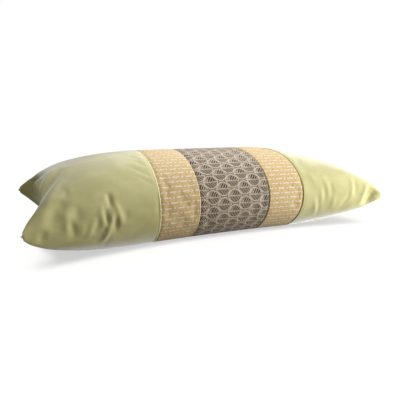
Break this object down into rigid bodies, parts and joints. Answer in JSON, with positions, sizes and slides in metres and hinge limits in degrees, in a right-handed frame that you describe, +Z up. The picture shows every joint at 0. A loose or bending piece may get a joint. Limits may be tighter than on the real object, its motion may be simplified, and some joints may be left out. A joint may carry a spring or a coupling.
{
  "type": "rectangular cushion",
  "caption": "Long filled rectangular cushion with a banded cover: velvet ends, woven dash bands and a leaf jacquard middle, lying on its back.",
  "frame": {"origin": "middle of the footprint, on the surface that the cushion lies on", "axes": "+X along the cushion, from its longer velvet end to its shorter one; +Y from the near long side to the far one; +Z up"},
  "size_m": [0.596, 0.3, 0.14],
  "materials": {
    "velvet": "short-pile velvet, soft sheen",
    "dash_cloth": "fine plain weave with rows of raised white dashes",
    "leaf_cloth": "jacquard weave, matt ground with lighter raised leaves"
  },
  "bodies": {
    "root": {"velvet_panel_left": "velvet", "dash_panel_left": "dash_cloth", "leaf_panel_centre": "leaf_cloth", "dash_panel_right": "dash_cloth", "velvet_panel_right": "velvet"}
  },
  "joints": []
}
